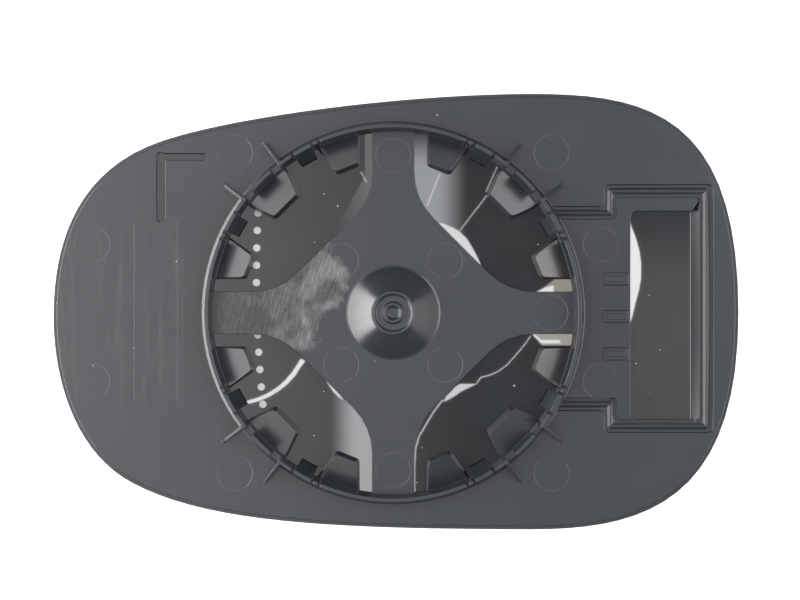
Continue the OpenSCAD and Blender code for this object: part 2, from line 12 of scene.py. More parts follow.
import bmesh
import bpy
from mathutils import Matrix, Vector

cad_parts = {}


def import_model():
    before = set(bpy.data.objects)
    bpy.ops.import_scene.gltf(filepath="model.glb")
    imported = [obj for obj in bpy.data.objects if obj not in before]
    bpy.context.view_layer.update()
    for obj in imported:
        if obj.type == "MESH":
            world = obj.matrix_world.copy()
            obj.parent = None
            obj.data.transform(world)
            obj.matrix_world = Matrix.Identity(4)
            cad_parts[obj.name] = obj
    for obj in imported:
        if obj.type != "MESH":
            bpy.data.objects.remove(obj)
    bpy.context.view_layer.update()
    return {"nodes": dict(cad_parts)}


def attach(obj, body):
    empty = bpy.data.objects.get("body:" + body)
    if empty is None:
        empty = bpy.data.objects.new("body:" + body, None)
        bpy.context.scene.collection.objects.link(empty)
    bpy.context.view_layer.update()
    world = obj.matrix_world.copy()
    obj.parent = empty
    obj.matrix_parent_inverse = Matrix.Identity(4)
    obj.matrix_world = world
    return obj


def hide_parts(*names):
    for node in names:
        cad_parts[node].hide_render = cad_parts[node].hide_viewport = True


logging.basicConfig(level=logging.INFO, format="%(name)s: %(message)s")
LOG = logging.getLogger("mirror_glass")

MM = 0.001
BODY = "root"
Point = tuple[float, float]
Place = tuple[float, float, float]
Values = dict[str | int, object]
Socket = bpy.types.NodeSocket
NodeTree = bpy.types.NodeTree
Material = bpy.types.Material
Object = bpy.types.Object
Colour = tuple[float, float, float]


class Side(Enum):
    """Which way a strip of the outline's normals points."""

    IN = -1.0
    OUT = 1.0


class Slot(Enum):
    """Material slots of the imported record."""

    PLATE = "holder_plate"
    GLASS = "mirror_glass"


# Curve and outline of the plate, as the CAD source has them


@dataclass(frozen=True)
class Dome:
    """The sphere that the plate and the pane are curved to, concave side up.

    Args:
        radius: Radius of the sphere.
        flat: Radius of the CAD model's flat spot, whose level is the zero of heights.
    """

    radius: float = 1400.0
    flat: float = 12.0

    def height(self, x: float, y: float, level: float = 0.0) -> float:
        """Return the height of the curved layer through a level on the axis.

        Args:
            x: Distance along X from the axis.
            y: Distance along Y from the axis.
            level: Height of the layer's flat spot.

        Returns:
            The height at (x, y), on the smooth sphere.
        """
        base = math.sqrt(self.radius**2 - self.flat**2)
        return level + base - math.sqrt(self.radius**2 - x * x - y * y)


@dataclass(frozen=True)
class Anchor:
    """A point of the outline with the heading there and its pulls.

    Args:
        x: Place along X.
        y: Place along Y.
        heading: Direction of travel in degrees.
        leave: Pull on the curve that leaves, as a share of the chord.
        arrive: Pull on the curve that arrives, as a share of the chord.
    """

    x: float
    y: float
    heading: float
    leave: float
    arrive: float


@dataclass(frozen=True)
class Outline:
    """The plate's outline in plan: six anchors with smooth stretches between them."""

    anchors: tuple[Anchor, ...] = (
        Anchor(86.1, 0.0, 90.0, 0.66, 0.63),
        Anchor(34.5, 54.7, 180.0, 0.35, 0.385),
        Anchor(-57.5, 43.0, 198.5, 0.485, 0.205),
        Anchor(-84.7, -1.0, 270.0, 0.295, 0.28),
        Anchor(-65.0, -42.5, 332.0, 0.21, 0.38),
        Anchor(34.5, -54.1, 0.0, 0.375, 0.505),
    )
    steps: int = 30

    def points(self) -> list[Point]:
        """Work out the outline.

        Returns:
            Its points, anticlockwise.
        """
        result: list[Point] = []
        count = len(self.anchors)
        for i, a in enumerate(self.anchors):
            b = self.anchors[(i + 1) % count]
            chord = math.hypot(b.x - a.x, b.y - a.y)
            ha, hb = math.radians(a.heading), math.radians(b.heading)
            c = (a.x + a.leave * chord * math.cos(ha), a.y + a.leave * chord * math.sin(ha))
            d = (b.x - b.arrive * chord * math.cos(hb), b.y - b.arrive * chord * math.sin(hb))
            for k in range(self.steps):
                t = k / self.steps
                s = 1.0 - t
                w = (s * s * s, 3 * s * s * t, 3 * s * t * t, t * t * t)
                x = w[0] * a.x + w[1] * c[0] + w[2] * d[0] + w[3] * b.x
                y = w[0] * a.y + w[1] * c[1] + w[2] * d[1] + w[3] * b.y
                result.append((x, y))
        return result

    def moved(self, distance: float, side: Side) -> list[Point]:
        """Return the outline moved along its normals.

        Args:
            distance: How far every point moves.
            side: Whether it moves in or out.

        Returns:
            The moved points, in the same order.
        """
        pts = self.points()
        n = len(pts)
        result: list[Point] = []
        for i in range(n):
            (x0, y0), (x1, y1) = pts[i - 1], pts[(i + 1) % n]
            length = math.hypot(x1 - x0, y1 - y0)
            nx, ny = (y1 - y0) / length, (x0 - x1) / length
            step = distance * side.value
            result.append((pts[i][0] + step * nx, pts[i][1] + step * ny))
        return result


@dataclass(frozen=True)
class Mark:
    """An ejector mark, which is repeated below the X axis.

    Args:
        x: Place of its middle along X.
        y: Place of its middle along Y.
        both_sides: Whether it is also repeated on the other side of the Y axis.
    """

    x: float
    y: float
    both_sides: bool


DOME = Dome()
OUTLINE = Outline()
MARK_RADIUS = 4.35
MARKS = (
    Mark(13.0, 13.0, True),
    Mark(39.5, 40.0, True),
    Mark(39.3, 0.0, True),
    Mark(0.0, 39.3, True),
    Mark(-75.0, 17.1, False),
    Mark(51.8, 17.1, False),
)


# Mesh helpers


def mesh_object(
    name: str, verts: Sequence[Place], faces: Sequence[Sequence[int]], smooth: bool = True
) -> Object:
    """Make a mesh object from points in millimetres.

    Args:
        name: Name of the object.
        verts: Points in millimetres.
        faces: Point indices of each face.
        smooth: Whether its faces are shaded smooth.

    Returns:
        The object, linked to the scene.
    """
    mesh = bpy.data.meshes.new(name)
    mesh.from_pydata([(x * MM, y * MM, z * MM) for x, y, z in verts], [], list(faces))
    mesh.validate()
    if smooth:
        mesh.shade_smooth()
    obj = bpy.data.objects.new(name, mesh)
    bpy.context.scene.collection.objects.link(obj)
    return obj


def fix_normals(obj: Object) -> None:
    """Turn a closed mesh's faces outward.

    Args:
        obj: The mesh's object.
    """
    work = bmesh.new()
    work.from_mesh(obj.data)
    bmesh.ops.recalc_face_normals(work, faces=work.faces)
    work.to_mesh(obj.data)
    work.free()


# Node helpers


class Tree:
    """A node tree with short calls to add and link nodes."""

    def __init__(self, tree: NodeTree) -> None:
        """Wrap a node tree."""
        self.tree = tree

    def add(self, kind: str, inputs: Values | None = None, **settings: object) -> bpy.types.Node:
        """Add a node.

        Args:
            kind: The node's type name, without its leading ShaderNode.
            inputs: Values or sockets for its inputs, by name or by index.
            **settings: Attributes set on the node itself.

        Returns:
            The new node.
        """
        node = self.tree.nodes.new("ShaderNode" + kind)
        for key, value in settings.items():
            setattr(node, key, value)
        for key, value in (inputs or {}).items():
            if isinstance(value, Socket):
                self.link(value, node.inputs[key])
            else:
                node.inputs[key].default_value = value
        return node

    def link(self, source: Socket, target: Socket) -> None:
        """Link one socket to another."""
        self.tree.links.new(source, target)

    def math(self, operation: str, a: object, b: object = 0.0, clamp: bool = False) -> Socket:
        """Return the result of a math node on a and b."""
        return self.add("Math", {0: a, 1: b}, operation=operation, use_clamp=clamp).outputs[0]

    def group(self, group: NodeTree, values: Values) -> bpy.types.Node:
        """Place a group with values or sockets for its inputs, and return its node."""
        return self.add("Group", values, node_tree=group)

    def times(self, a: object, b: object) -> Socket:
        """Return the product of a and b."""
        return self.math("MULTIPLY", a, b)

    def absolute(self, value: object) -> Socket:
        """Return a value without its sign."""
        return self.math("ABSOLUTE", value)

    def ramp(self, value: object, low: float, high: float, to: Point = (0.0, 1.0)) -> Socket:
        """Map a value smoothly from one range onto another.

        Args:
            value: The value.
            low: Start of its range.
            high: End of its range.
            to: The range it is mapped onto.

        Returns:
            The mapped value, which stays in that range.
        """
        values = {0: value, 1: low, 2: high, 3: to[0], 4: to[1]}
        return self.add("MapRange", values, interpolation_type="SMOOTHSTEP").outputs[0]

    def mix(self, factor: object, a: object, b: object) -> Socket:
        """Mix two colours.

        Args:
            factor: Share of the second colour.
            a: The first colour.
            b: The second colour.

        Returns:
            The mixed colour.
        """
        node = self.add("Mix", data_type="RGBA")
        for index, value in ((0, factor), (6, a), (7, b)):
            if isinstance(value, Socket):
                self.link(value, node.inputs[index])
            elif index and len(value) == 3:
                node.inputs[index].default_value = (*value, 1.0)
            else:
                node.inputs[index].default_value = value
        return node.outputs[2]

    def noise(self, vector: object, scale: object, detail: float = 2.0, roughness: float = 0.5) -> Socket:
        """Return the value of a noise texture."""
        values = {"Vector": vector, "Scale": scale, "Detail": detail, "Roughness": roughness}
        return self.add("TexNoise", values).outputs[0]

    def scaled(self, vector: object, factors: Place) -> Socket:
        """Return a vector multiplied by three factors."""
        return self.add("VectorMath", {0: vector, 1: factors}, operation="MULTIPLY").outputs[0]

    def split(self, vector: object) -> tuple[Socket, ...]:
        """Return the three parts of a vector."""
        return tuple(self.add("SeparateXYZ", {0: vector}).outputs)


def millimetres(tree: Tree) -> Socket:
    """Return the object's own coordinates in millimetres."""
    place = tree.add("TexCoord").outputs["Object"]
    return tree.scaled(place, (1000.0, 1000.0, 1000.0))


def new_group(name: str, takes: dict[str, object], gives: Sequence[str]) -> tuple[NodeTree, Tree]:
    """Start a shader node group.

    Args:
        name: Name of the group.
        takes: Its inputs: a float for a value, a tuple for a vector.
        gives: Names of its float outputs.

    Returns:
        The group and its wrapper.
    """
    group = bpy.data.node_groups.new(name, "ShaderNodeTree")
    for key, value in takes.items():
        kind = "NodeSocketFloat" if isinstance(value, float) else "NodeSocketVector"
        socket = group.interface.new_socket(key, in_out="INPUT", socket_type=kind)
        socket.default_value = value
    for key in gives:
        group.interface.new_socket(key, in_out="OUTPUT", socket_type="NodeSocketFloat")
    return group, Tree(group)


def group_ends(tree: Tree) -> tuple[bpy.types.bpy_prop_collection, bpy.types.bpy_prop_collection]:
    """Return what a group's inputs give and what its outputs take."""
    nodes = tree.tree.nodes
    return nodes.new("NodeGroupInput").outputs, nodes.new("NodeGroupOutput").inputs


def dust_group() -> NodeTree:
    """Build the group that scatters specks of dust.

    Returns:
        A group that gives a mask from a place in millimetres.
    """
    takes = {"Place": (0.0, 0.0, 0.0), "Pitch": 4.0, "Share": 0.2, "Size": 0.2}
    group, tree = new_group("dust", takes, ["Mask"])
    ins, outs = group_ends(tree)
    inverse = tree.math("DIVIDE", 1.0, ins["Pitch"])
    cells = tree.add("TexVoronoi", {"Vector": ins["Place"], "Scale": inverse}, voronoi_dimensions="3D")
    pick = tree.add("SeparateColor", {0: cells.outputs["Color"]})
    chosen = tree.math("LESS_THAN", pick.outputs[0], ins["Share"])
    size = tree.times(ins["Size"], tree.math("ADD", tree.times(pick.outputs[1], 1.2), 0.4))
    reach = tree.times(size, inverse)
    near = tree.math("LESS_THAN", cells.outputs["Distance"], reach)
    tree.link(tree.times(chosen, near), outs["Mask"])
    return group


def grain_group() -> NodeTree:
    """Build the group for moulded surfaces.

    Returns:
        A group that gives a fine height and a slow change of tone.
    """
    group, tree = new_group("grain", {"Place": (0.0, 0.0, 0.0), "Pitch": 0.4}, ["Height", "Tone"])
    ins, outs = group_ends(tree)
    inverse = tree.math("DIVIDE", 1.0, ins["Pitch"])
    fine = tree.noise(ins["Place"], inverse, 3.0, 0.6)
    slow = tree.noise(ins["Place"], 0.045, 4.0, 0.55)
    tree.link(fine, outs["Height"])
    tree.link(slow, outs["Tone"])
    return group


def streak_group() -> NodeTree:
    """Build the group for fine scratches.

    Returns:
        A group that gives a mask from a place that is stretched along the scratches.
    """
    group, tree = new_group("streaks", {"Place": (0.0, 0.0, 0.0), "Cut": 0.55, "Soft": 0.1}, ["Mask"])
    ins, outs = group_ends(tree)
    lines = tree.noise(ins["Place"], 1.0, 4.0, 0.7)
    over = tree.math("SUBTRACT", lines, ins["Cut"])
    mask = tree.math("DIVIDE", over, ins["Soft"], clamp=True)
    tree.link(mask, outs["Mask"])
    return group


def rim_highlight_group(marks: Sequence[Mark], radius: float) -> NodeTree:
    """Build the group for the painted highlights on the rims of the ejector marks.

    Args:
        marks: The marks on and above the X axis.
        radius: Radius of a mark.

    Returns:
        A group that gives a mask from a place in millimetres.
    """
    group, tree = new_group("rings", {"Place": (0.0, 0.0, 0.0), "Width": 0.2}, ["Mask"])
    ins, outs = group_ends(tree)
    x, y, _ = tree.split(ins["Place"])
    across, up = tree.absolute(x), tree.absolute(y)
    mask: object = 0.0
    for mark in marks:
        spot = tree.add("CombineXYZ", {0: across if mark.both_sides else x, 1: up}).outputs[0]
        away = tree.add("VectorMath", {0: spot, 1: (mark.x, mark.y, 0.0)}, operation="DISTANCE")
        off = tree.absolute(tree.math("SUBTRACT", away.outputs["Value"], radius))
        near = tree.math("SUBTRACT", 1.0, tree.math("DIVIDE", off, ins["Width"]), clamp=True)
        mask = tree.math("MAXIMUM", mask, near)
    broken = tree.ramp(tree.noise(ins["Place"], 0.3, 2.0), 0.35, 0.6, (0.35, 1.0))
    tree.link(tree.times(mask, broken), outs["Mask"])
    return group


class Effects:
    """The shared shader node groups, each built once."""

    def __init__(self) -> None:
        """Build every group."""
        self.dust = dust_group()
        self.grain = grain_group()
        self.streaks = streak_group()
        # The rings group paints highlights on the ejector marks' rims
        self.rings = rim_highlight_group(MARKS, MARK_RADIUS)


def new_material(name: str) -> tuple[Material, Tree, bpy.types.Node, Socket]:
    """Start a material with one Principled shader.

    Args:
        name: Name of the material.

    Returns:
        The material, its tree, the shader and the place in millimetres.
    """
    material = bpy.data.materials.new(name)
    material.use_nodes = True
    tree = Tree(material.node_tree)
    shader = next(n for n in material.node_tree.nodes if n.type == "BSDF_PRINCIPLED")
    return material, tree, shader, millimetres(tree)


# Finishes

# The scuffs' right end: shares of the way from bottom to top, and how far the scuffs come there
SCUFF_EDGE = ((0.0, 0.1), (0.28, 0.1), (0.44, 0.12), (0.58, 0.41), (0.73, 0.5), (0.82, 0.41), (0.94, 0.23))


@dataclass(frozen=True)
class MouldedPlastic:
    """Black moulded plastic with a soft sheen, painted sheen streaks on the plate's far left, painted
    highlights on the marks' rims, scuffs and dust.

    Args:
        colour: Colour of the clean plastic.
        roughness: Its roughness.
        scuff_colour: Colour of the scuffed arm.
        dust_colour: Colour of the specks.
        painted_sheen_and_seam_colour: Colour of the painted sheen streaks on the plate's left, of the seams and
            of the painted highlights on the marks' rims.
        collar_clear: Radii at which the scuffs end and are whole, inside the collar.
        tab_clear: Radii at which the scuffs leave out the tabs and don't.
        arm_clear: Distances from the arm's middle at which the scuffs end and are whole, between tabs.
        seam_middle: Middle of the mould insert.
        seam_half: Distance from there to each of its two hairlines.
        seam_ends: Distances along a hairline at which it ends and is whole.
    """

    colour: Colour = (0.0120, 0.0142, 0.0175)
    roughness: float = 0.26
    scuff_colour: Colour = (0.150, 0.147, 0.142)
    dust_colour: Colour = (0.30, 0.30, 0.31)
    painted_sheen_and_seam_colour: Colour = (0.055, 0.055, 0.057)
    collar_clear: Point = (43.6, 42.2)
    tab_clear: Point = (36.6, 36.2)
    arm_clear: Point = (6.4, 6.0)
    seam_middle: Place = (-59.15, 0.4, 0.0)
    seam_half: float = 5.35
    seam_ends: Point = (22.4, 22.1)

    def scuff_mask(self, tree: Tree, place: Socket) -> Socket:
        """Return the mask of the scuffed left arm of the web.

        Args:
            tree: The material's tree.
            place: Place in millimetres.

        Returns:
            A mask that is 1 on the strongest scratches.
        """
        x, y, _ = tree.split(place)
        reach = 20.0
        share = tree.add("MapRange", {0: y, 1: -reach, 2: reach}).outputs[0]
        edge = tree.add("FloatCurve", {"Factor": 1.0, "Value": share})
        curve = edge.mapping.curves[0]
        for spot in SCUFF_EDGE:
            curve.points.new(*spot)
        edge.mapping.update()
        limit = tree.math("SUBTRACT", tree.times(edge.outputs[0], reach), reach)
        wobble = tree.times(tree.math("SUBTRACT", tree.noise(place, 0.35, 4.0), 0.5), 9.0)
        inside = tree.ramp(tree.math("ADD", tree.math("SUBTRACT", limit, x), wobble), -0.4, 3.2)
        radius = tree.math("SQRT", tree.math("ADD", tree.times(x, x), tree.times(y, y)))
        inside = tree.times(inside, tree.ramp(radius, *self.collar_clear))
        on_arm = tree.ramp(tree.absolute(y), *self.arm_clear)
        inside = tree.times(inside, tree.math("MAXIMUM", tree.ramp(radius, *self.tab_clear), on_arm))
        inside = tree.times(inside, tree.ramp(y, 19.0, 17.0))
        inside = tree.times(inside, tree.ramp(y, -10.5, -8.5))
        patches = tree.ramp(tree.noise(place, 0.16, 3.0), 0.36, 0.6, (0.25, 1.0))
        fade = tree.ramp(x, -36.0, -20.0, (0.42, 1.0))
        return tree.times(inside, tree.times(patches, fade))

    def seam_mask(self, tree: Tree, x: Socket, y: Socket) -> Socket:
        """Return the mask of the two hairlines that a mould insert leaves on the plate's left.

        Args:
            tree: The material's tree.
            x: Place along X in millimetres.
            y: Place along Y in millimetres.

        Returns:
            A mask that is 1 on the hairlines.
        """
        across = tree.absolute(tree.math("SUBTRACT", x, self.seam_middle[0]))
        off = tree.absolute(tree.math("SUBTRACT", across, self.seam_half))
        along = tree.ramp(tree.absolute(tree.math("SUBTRACT", y, self.seam_middle[1])), *self.seam_ends)
        return tree.times(tree.ramp(off, 0.16, 0.04), along)

    def build(self, effects: Effects) -> Material:
        """Return the material.

        Args:
            effects: The shared groups.

        Returns:
            The finished material.
        """
        material, tree, shader, place = new_material("moulded_plastic")
        grain = tree.group(effects.grain, {"Place": place, "Pitch": 1.2})
        tone = tree.ramp(grain.outputs["Tone"], 0.3, 0.7, (0.95, 1.05))
        base = tree.add("VectorMath", {0: self.colour, "Scale": tone}, operation="SCALE").outputs[0]
        # Painted sheen: pale streaks on the plate's far left stand in for the light that the left lamps spread
        # there
        left_sheen_place = tree.scaled(place, (0.33, 0.03, 0.1))
        left_sheen = tree.group(effects.streaks, {"Place": left_sheen_place, "Cut": 0.5, "Soft": 0.3})
        x, y, _ = tree.split(place)
        left_sheen_zone = tree.times(tree.ramp(x, -46.0, -56.0), tree.ramp(tree.absolute(y), 30.0, 12.0))
        left_sheen_mask = tree.times(left_sheen.outputs["Mask"], tree.times(left_sheen_zone, 0.5))
        colour = tree.mix(left_sheen_mask, base, self.painted_sheen_and_seam_colour)
        seam = self.seam_mask(tree, x, y)
        colour = tree.mix(tree.times(seam, 0.55), colour, self.painted_sheen_and_seam_colour)
        # Painted highlight: a pale line on each ejector mark's rim, where the rim's lip catches the light
        rings = tree.group(effects.rings, {"Place": place, "Width": 0.24})
        colour = tree.mix(tree.times(rings.outputs["Mask"], 0.8), colour, self.painted_sheen_and_seam_colour)
        zone = self.scuff_mask(tree, place)
        tilt = tree.add("VectorRotate", {"Vector": place, "Angle": math.radians(14.0)}, rotation_type="Z_AXIS")
        fine_place = tree.scaled(tilt.outputs[0], (2.8, 0.22, 0.22))
        fine = tree.group(effects.streaks, {"Place": fine_place, "Cut": 0.46, "Soft": 0.13})
        scuff = tree.times(zone, fine.outputs["Mask"])
        veil = tree.times(tree.times(zone, zone), 0.42)
        strength = tree.math("MAXIMUM", tree.times(scuff, 0.85), veil)
        colour = tree.mix(strength, colour, self.scuff_colour)
        dust = tree.group(effects.dust, {"Place": place, "Pitch": 5.0, "Share": 0.25, "Size": 0.19})
        colour = tree.mix(tree.times(dust.outputs["Mask"], 0.7), colour, self.dust_colour)
        tree.link(colour, shader.inputs["Base Color"])
        spread = (self.roughness - 0.008, self.roughness + 0.01)
        rough = tree.ramp(tree.noise(place, 0.12, 3.0), 0.3, 0.7, spread)
        rough = tree.math("ADD", rough, tree.times(strength, 0.2))
        tree.link(rough, shader.inputs["Roughness"])
        lines = tree.math("ADD", tree.times(scuff, -0.8), tree.times(seam, 1.5))
        height = tree.math("ADD", grain.outputs["Height"], lines)
        bump = tree.add("Bump", {"Strength": 0.2, "Distance": 0.00003, "Height": height})
        tree.link(bump.outputs[0], shader.inputs["Normal"])
        return material


@dataclass(frozen=True)
class BackCoat:
    """The dark protective coat on the pane's back, smooth as the glass under it.

    Args:
        colour: Colour of the coat.
        roughness: Its roughness.
    """

    colour: Colour = (0.010, 0.010, 0.010)
    roughness: float = 0.01

    def build(self, effects: Effects) -> Material:
        """Return the material.

        Args:
            effects: The shared groups.

        Returns:
            The finished material.
        """
        material, tree, shader, place = new_material("back_coat")
        slow = tree.ramp(tree.noise(place, 0.05, 3.0), 0.35, 0.65)
        colour = tree.mix(slow, self.colour, (0.012, 0.013, 0.015))
        dust = tree.group(effects.dust, {"Place": place, "Pitch": 3.0, "Share": 0.45, "Size": 0.17})
        colour = tree.mix(tree.times(dust.outputs["Mask"], 0.7), colour, (0.3, 0.31, 0.33))
        tree.link(colour, shader.inputs["Base Color"])
        rough = tree.math("ADD", tree.times(dust.outputs["Mask"], 0.5), self.roughness)
        tree.link(rough, shader.inputs["Roughness"])
        shader.inputs["IOR"].default_value = 1.6
        return material


@dataclass(frozen=True)
class SilveredGlass:
    """The mirror's face: silvering seen through clear glass.

    Args:
        colour: Tint of the mirror.
    """

    colour: Colour = (0.80, 0.83, 0.85)

    def build(self, effects: Effects) -> Material:
        """Return the material.

        Args:
            effects: The shared groups.

        Returns:
            The finished material.
        """
        material, tree, shader, place = new_material("silvered_glass")
        dust = tree.group(effects.dust, {"Place": place, "Pitch": 7.0, "Share": 0.15, "Size": 0.14})
        shader.inputs["Metallic"].default_value = 1.0
        shader.inputs["Coat Weight"].default_value = 1.0
        shader.inputs["Coat Roughness"].default_value = 0.01
        colour = tree.mix(dust.outputs["Mask"], self.colour, (0.5, 0.5, 0.5))
        tree.link(colour, shader.inputs["Base Color"])
        smear = tree.ramp(tree.noise(tree.scaled(place, (0.06, 0.02, 0.06)), 1.0, 4.0), 0.5, 0.8, (0.012, 0.05))
        rough = tree.math("ADD", tree.times(dust.outputs["Mask"], 0.4), smear)
        tree.link(rough, shader.inputs["Roughness"])
        return material


@dataclass(frozen=True)
class PlainFinish:
    """A simple finish with a slow change of tone and a fine grain.

    Args:
        name: Name of the material.
        light: Its lighter colour.
        dark: Its darker colour.
        roughness: Its roughness.
        pitch: Pitch of the grain in millimetres.
        depth: Depth of the grain in millimetres.
    """

    name: str
    light: Colour
    dark: Colour
    roughness: float
    pitch: float = 0.4
    depth: float = 0.02

    def build(self, effects: Effects) -> Material:
        """Return the material.

        Args:
            effects: The shared groups.

        Returns:
            The finished material.
        """
        material, tree, shader, place = new_material(self.name)
        grain = tree.group(effects.grain, {"Place": place, "Pitch": self.pitch})
        colour = tree.mix(tree.ramp(grain.outputs["Tone"], 0.3, 0.7), self.dark, self.light)
        tree.link(colour, shader.inputs["Base Color"])
        shader.inputs["Roughness"].default_value = self.roughness
        height = grain.outputs["Height"]
        bump = tree.add("Bump", {"Strength": 0.3, "Distance": self.depth * MM, "Height": height})
        tree.link(bump.outputs[0], shader.inputs["Normal"])
        return material


# Sub-assemblies


@dataclass
class HolderPlate:
    """The moulded plate: the CAD solid with softened edges and the dome's true normals.

    Args:
        node: The CAD node.
        edge_radius: Width of the softened edges.
        edge_share: Most that an edge may take of the narrower surface beside it.
        sharp_angle: Angle in degrees from which an edge is softened.
        collar_outer: Outer radius of the collar's foot.
        short_edge: Length of a low step's edge outside the collar, whose neighbours stay nearly sharp.
        short_share: Share of the width that those neighbours keep.
        flat_angle: Angle in degrees up to which triangles make one flat face.
        level_angle: Tilt in degrees up to which a face belongs to a curved layer.
        smooth_angle: Angle in degrees up to which neighbouring faces are shaded as one.
        wall_angle: The same angle between two upright faces, as on the collar.
        weld: Distance in millimetres within which points are merged.
        sliver: Length in millimetres below which an edge is dissolved.
    """

    node: Object
    edge_radius: float = 0.15
    edge_share: float = 0.35
    sharp_angle: float = 28.0
    collar_outer: float = 48.5
    short_edge: float = 0.14
    short_share: float = 0.1
    flat_angle: float = 0.05
    level_angle: float = 8.0
    smooth_angle: float = 15.0
    wall_angle: float = 24.0
    weld: float = 0.002
    sliver: float = 0.004

    def surface_widths(self, work: bmesh.types.BMesh) -> dict[int, float]:
        """Measure the surface that each face belongs to.

        Args:
            work: The mesh, whose surfaces end at its sharp edges.

        Returns:
            The surface's width in millimetres, by face index.
        """
        limit = math.radians(self.sharp_angle / 2)
        width: dict[int, float] = {}
        for seed in work.faces:
            if seed.index in width:
                continue
            surface, queue, rim, area = {seed.index}, [seed], 0.0, 0.0
            while queue:
                face = queue.pop()
                area += face.calc_area()
                for edge in face.edges:
                    if len(edge.link_faces) != 2 or edge.calc_face_angle() > limit:
                        rim += edge.calc_length()
                        continue
                    for other in edge.link_faces:
                        if other.index not in surface:
                            surface.add(other.index)
                            queue.append(other)
            for index in surface:
                width[index] = 2.0 * area / max(rim, MM) / MM
        return width

    def cleaned(self) -> bpy.types.Mesh:
        """Clean the CAD mesh for the bevel.

        Returns:
            A copy with whole flat faces and a bevel weight on each sharp edge.
        """
        mesh = self.node.data.copy()
        work = bmesh.new()
        work.from_mesh(mesh)
        bmesh.ops.remove_doubles(work, verts=work.verts, dist=self.weld * MM)
        bmesh.ops.dissolve_degenerate(work, edges=work.edges, dist=self.sliver * MM)
        flat = math.radians(self.flat_angle)
        bmesh.ops.dissolve_limit(work, angle_limit=flat, verts=work.verts, edges=work.edges)
        work.faces.index_update()
        width = self.surface_widths(work)
        weight = work.edges.layers.float.new("bevel_weight_edge")
        for edge in work.edges:
            if len(edge.link_faces) == 2 and edge.calc_face_angle() > math.radians(self.sharp_angle):
                room = self.edge_share * min(width[face.index] for face in edge.link_faces)
                edge[weight] = min(1.0, room / self.edge_radius)
        short = self.short_edge * MM
        steps = [edge for edge in work.edges if edge[weight] > 0.0 and edge.calc_length() < short]
        for vert in {vert for edge in steps for vert in edge.verts}:
            if vert.co.xy.length > self.collar_outer * MM:
                for edge in vert.link_edges:
                    edge[weight] = min(edge[weight], self.short_share)
        work.to_mesh(mesh)
        work.free()
        return mesh

    def true_normals(self, mesh: bpy.types.Mesh) -> None:
        """Give the bevelled mesh the dome's normals on its curved layers and smooth ones elsewhere.

        Args:
            mesh: The bevelled mesh, whose bevel faces have material index 1.
        """
        around: list[list[int]] = [[] for _ in mesh.vertices]
        for face in mesh.polygons:
            for v in face.vertices:
                around[v].append(face.index)
        normals = [face.normal.copy() for face in mesh.polygons]
        areas = [face.area for face in mesh.polygons]
        plain = [face.material_index == 0 for face in mesh.polygons]
        level = math.cos(math.radians(self.level_angle))
        near, wall_near = math.cos(math.radians(self.smooth_angle)), math.cos(math.radians(self.wall_angle))

        def own(face: int, v: int) -> Vector:
            """Return the normal of a plain face at one of its corners.

            Args:
                face: Index of the face.
                v: Index of the corner's point.

            Returns:
                The dome's normal on a curved layer, or else a smooth one.
            """
            n = normals[face]
            if abs(n.z) > level:
                co = mesh.vertices[v].co / MM
                up = Vector((-co.x, -co.y, DOME.radius)).normalized()
                return up if n.z > 0.0 else -up
            total = Vector((0.0, 0.0, 0.0))
            for g in around[v]:
                if plain[g]:
                    limit = wall_near if abs(n.z) < 0.5 and abs(normals[g].z) < 0.5 else near
                    if n.dot(normals[g]) > limit:
                        total += normals[g] * areas[g]
            return total.normalized() if total.length > 0.0 else n

        result: list[Vector] = []
        for face in mesh.polygons:
            for v in face.vertices:
                if plain[face.index]:
                    result.append(own(face.index, v))
                    continue
                beside = [g for g in around[v] if plain[g]]
                if beside:
                    best = max(beside, key=lambda g: normals[g].dot(normals[face.index]))
                    result.append(own(best, v))
                else:
                    total = sum((normals[g] * areas[g] for g in around[v]), Vector((0.0, 0.0, 0.0)))
                    result.append(total.normalized() if total.length > 0.0 else normals[face.index])
        mesh.polygons.foreach_set("material_index", [0] * len(mesh.polygons))
        mesh.normals_split_custom_set(result)

    def build(self, material: Material) -> Object:
        """Build the softened plate and put it in the CAD node's place.

        Args:
            material: The plate's finish.

        Returns:
            The plate.
        """
        plate = bpy.data.objects.new("holder_plate_moulded", self.cleaned())
        bpy.context.scene.collection.objects.link(plate)
        plate.data.materials.clear()
        plate.data.materials.append(material)
        plate.data.materials.append(material)
        bevel = plate.modifiers.new("soft_edges", "BEVEL")
        bevel.width = self.edge_radius * MM
        bevel.segments = 2
        bevel.limit_method = "WEIGHT"
        bevel.use_clamp_overlap = False
        bevel.material = 1
        graph = bpy.context.evaluated_depsgraph_get()
        mesh = bpy.data.meshes.new_from_object(plate.evaluated_get(graph))
        plate.modifiers.clear()
        plate.data = mesh
        mesh.shade_smooth()
        self.true_normals(mesh)
        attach(plate, BODY)
        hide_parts("holder_plate")
        return plate


